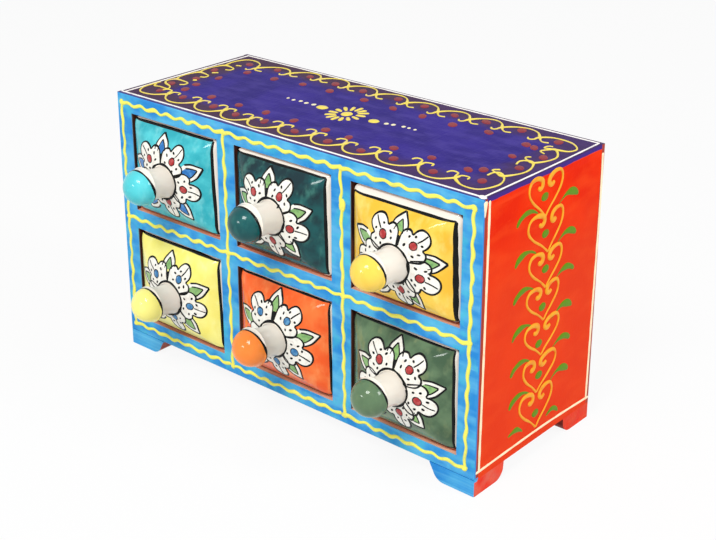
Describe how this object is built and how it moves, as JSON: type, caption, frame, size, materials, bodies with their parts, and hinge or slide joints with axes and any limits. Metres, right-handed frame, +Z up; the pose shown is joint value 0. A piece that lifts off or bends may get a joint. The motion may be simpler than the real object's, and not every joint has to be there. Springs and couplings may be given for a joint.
{
  "type": "spice drawer box",
  "caption": "Small painted wooden chest on corner feet, with two rows of pull-out glazed ceramic drawers that have pillowed fronts and ball knobs, for storing spices.",
  "frame": {"origin": "on the ground under the middle of the whole chest, knobs included", "axes": "+X to the right of someone who faces the drawers, +Y from the drawers to the back, +Z up"},
  "size_m": [0.25, 0.1365, 0.1545],
  "materials": {
    "blue_paint": "satin",
    "violet_paint": "satin",
    "red_paint": "satin",
    "bare_wood": "matte",
    "steel": "satin",
    "turquoise_glaze": "gloss",
    "deep_teal_glaze": "gloss",
    "golden_yellow_glaze": "gloss",
    "pale_yellow_glaze": "gloss",
    "orange_glaze": "gloss",
    "moss_green_glaze": "gloss"
  },
  "bodies": {
    "case": {"front_frame": "blue_paint", "back_panel": "bare_wood", "top_panel": "violet_paint", "bottom_panel": "bare_wood", "left_side_panel": "red_paint", "right_side_panel": "red_paint", "shelf": "bare_wood", "left_divider": "bare_wood", "right_divider": "bare_wood", "front_left_foot": "red_paint", "front_right_foot": "red_paint", "back_left_foot": "red_paint", "back_right_foot": "red_paint", "top_nails": "steel", "side_nails": "steel", "frame_pins": "steel", "back_pins": "steel", "foot_nails": "steel"},
    "lower_left_drawer": {"lower_left_drawer": "pale_yellow_glaze"},
    "lower_middle_drawer": {"lower_middle_drawer": "orange_glaze"},
    "lower_right_drawer": {"lower_right_drawer": "moss_green_glaze"},
    "upper_left_drawer": {"upper_left_drawer": "turquoise_glaze"},
    "upper_middle_drawer": {"upper_middle_drawer": "deep_teal_glaze"},
    "upper_right_drawer": {"upper_right_drawer": "golden_yellow_glaze"}
  },
  "joints": [
    {"name": "lower_left_drawer_slide", "type": "slide", "parent": "case", "child": "lower_left_drawer", "axis": [0, -1, 0], "range_m": [0, 0.075]},
    {"name": "lower_middle_drawer_slide", "type": "slide", "parent": "case", "child": "lower_middle_drawer", "axis": [0, -1, 0], "range_m": [0, 0.075]},
    {"name": "lower_right_drawer_slide", "type": "slide", "parent": "case", "child": "lower_right_drawer", "axis": [0, -1, 0], "range_m": [0, 0.075]},
    {"name": "upper_left_drawer_slide", "type": "slide", "parent": "case", "child": "upper_left_drawer", "axis": [0, -1, 0], "range_m": [0, 0.075]},
    {"name": "upper_middle_drawer_slide", "type": "slide", "parent": "case", "child": "upper_middle_drawer", "axis": [0, -1, 0], "range_m": [0, 0.075]},
    {"name": "upper_right_drawer_slide", "type": "slide", "parent": "case", "child": "upper_right_drawer", "axis": [0, -1, 0], "range_m": [0, 0.075]}
  ]
}
